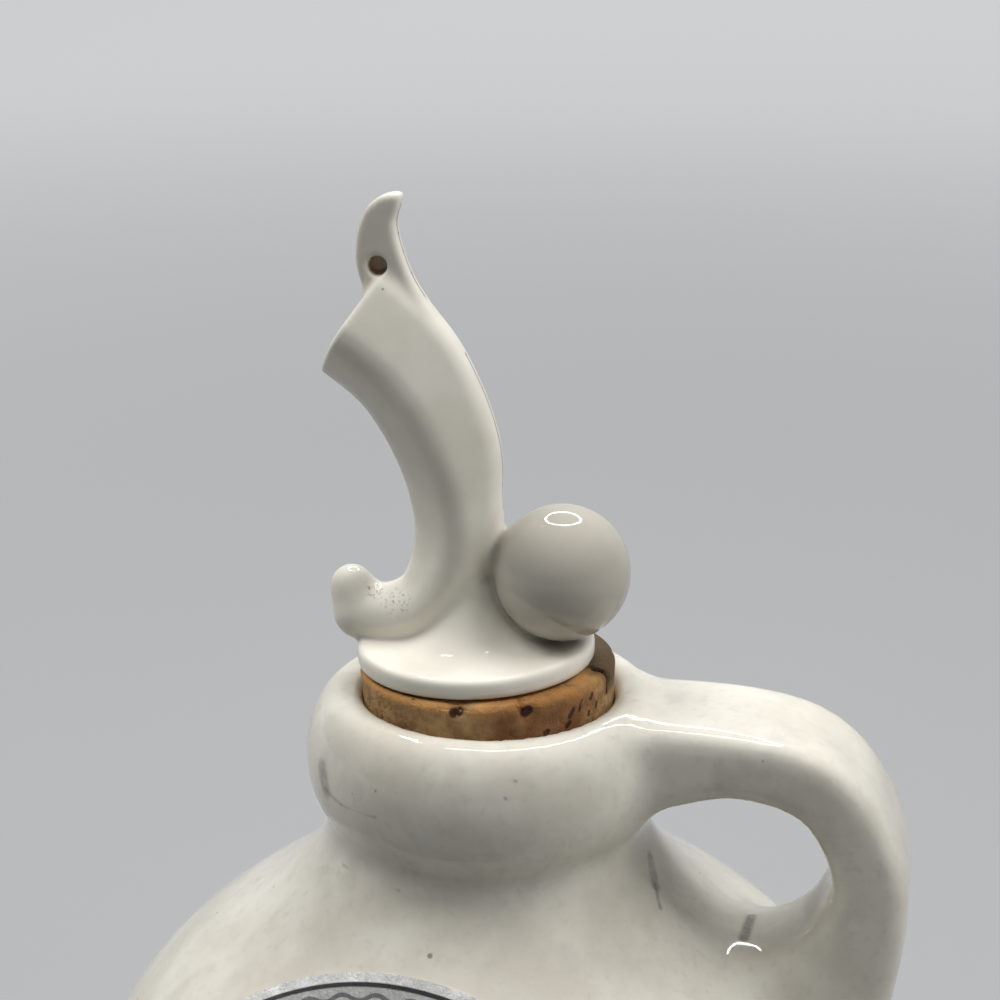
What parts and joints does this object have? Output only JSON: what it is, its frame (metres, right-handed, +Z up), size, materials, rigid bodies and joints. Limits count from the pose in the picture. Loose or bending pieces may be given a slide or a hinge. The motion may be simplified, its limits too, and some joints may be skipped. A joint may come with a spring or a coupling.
{
  "type": "stoneware jug",
  "caption": "Squat glazed stoneware jug with a looped handle, a thick ringed mouth, a bored cork and a porcelain horn-shaped pourer beside a ball.",
  "frame": {"origin": "centre of the jug's foot on the surface it stands on", "axes": "+Z up along the jug's axis; +X toward the handle, with the horn and the ball in the same plane; the label faces -Y"},
  "size_m": [0.122, 0.122, 0.2236],
  "materials": {
    "stoneware_glaze": "gloss",
    "porcelain_glaze": "gloss",
    "natural_cork": "matt",
    "foil_label": "satin"
  },
  "bodies": {
    "jug": {"jug_body": "stoneware_glaze", "jug_handle": "stoneware_glaze", "label": "foil_label"},
    "stopper": {"cork_stopper": "natural_cork"},
    "pourer": {"pourer_foot": "porcelain_glaze", "pourer_horn": "porcelain_glaze", "pourer_ball": "porcelain_glaze"}
  },
  "joints": [
    {"name": "stopper_lift", "type": "slide", "parent": "jug", "child": "stopper", "axis": [-0.0366, 0, 0.9993], "range_m": [0, 0.06]},
    {"name": "spout_turn", "type": "hinge", "parent": "stopper", "child": "pourer", "pos_m": [-0.0015, 0, 0.15624], "axis": [-0.0366, 0, 0.9993], "continuous": true}
  ]
}
